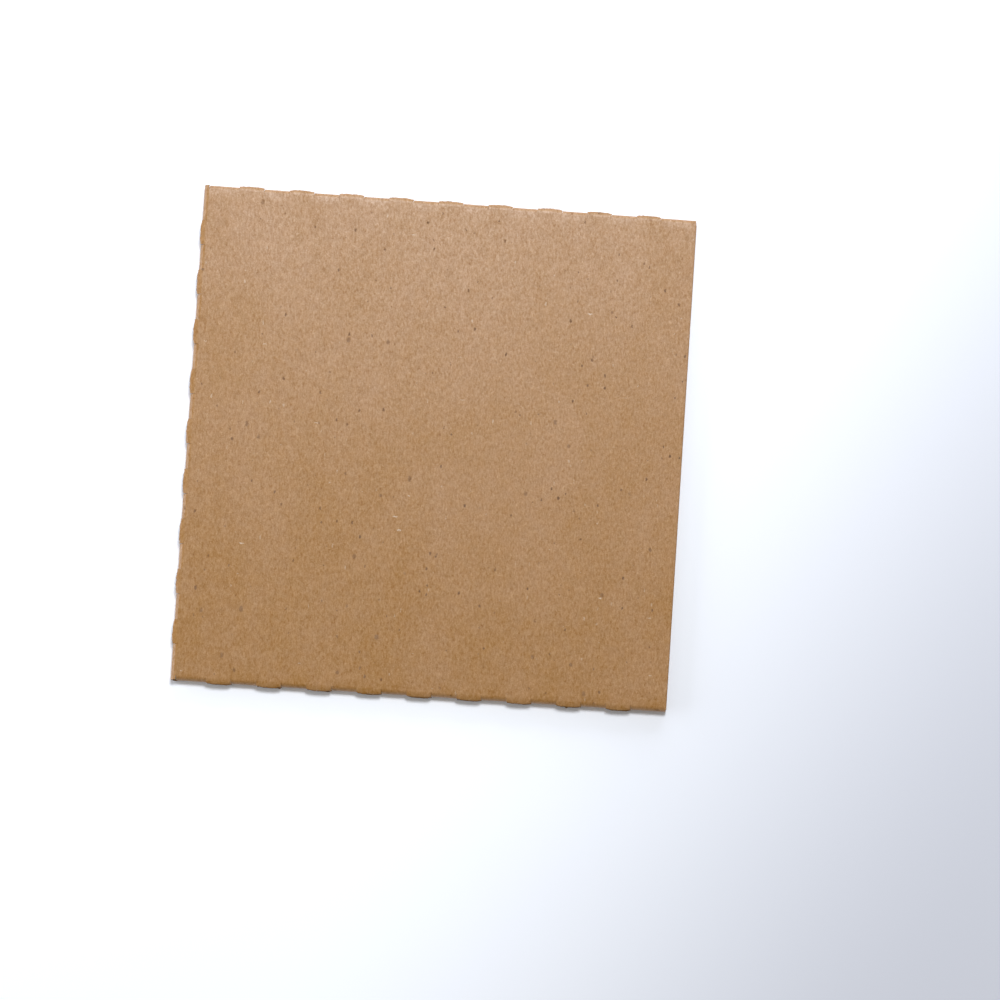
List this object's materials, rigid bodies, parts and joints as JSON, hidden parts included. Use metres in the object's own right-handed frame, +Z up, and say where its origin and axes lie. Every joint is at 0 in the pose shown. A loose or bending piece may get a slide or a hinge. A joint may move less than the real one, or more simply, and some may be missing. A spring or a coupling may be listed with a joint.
{
  "type": "cardboard sleeve",
  "caption": "Flat square pocket of folded recycled kraft board for a disc, with dashed cut-and-crease folds and an open mouth.",
  "frame": {"origin": "middle of the box's underside, on the back panel's outer face", "axes": "+Z up out of the front panel, +X towards the open mouth, the spine fold at -X, the top fold at +Y"},
  "size_m": [0.127, 0.1272, 0.0028],
  "materials": {
    "kraft_board": "uncoated matte board of recycled brown fibre, finely mottled and flecked"
  },
  "bodies": {
    "root": {"sleeve": "kraft_board"}
  },
  "joints": []
}
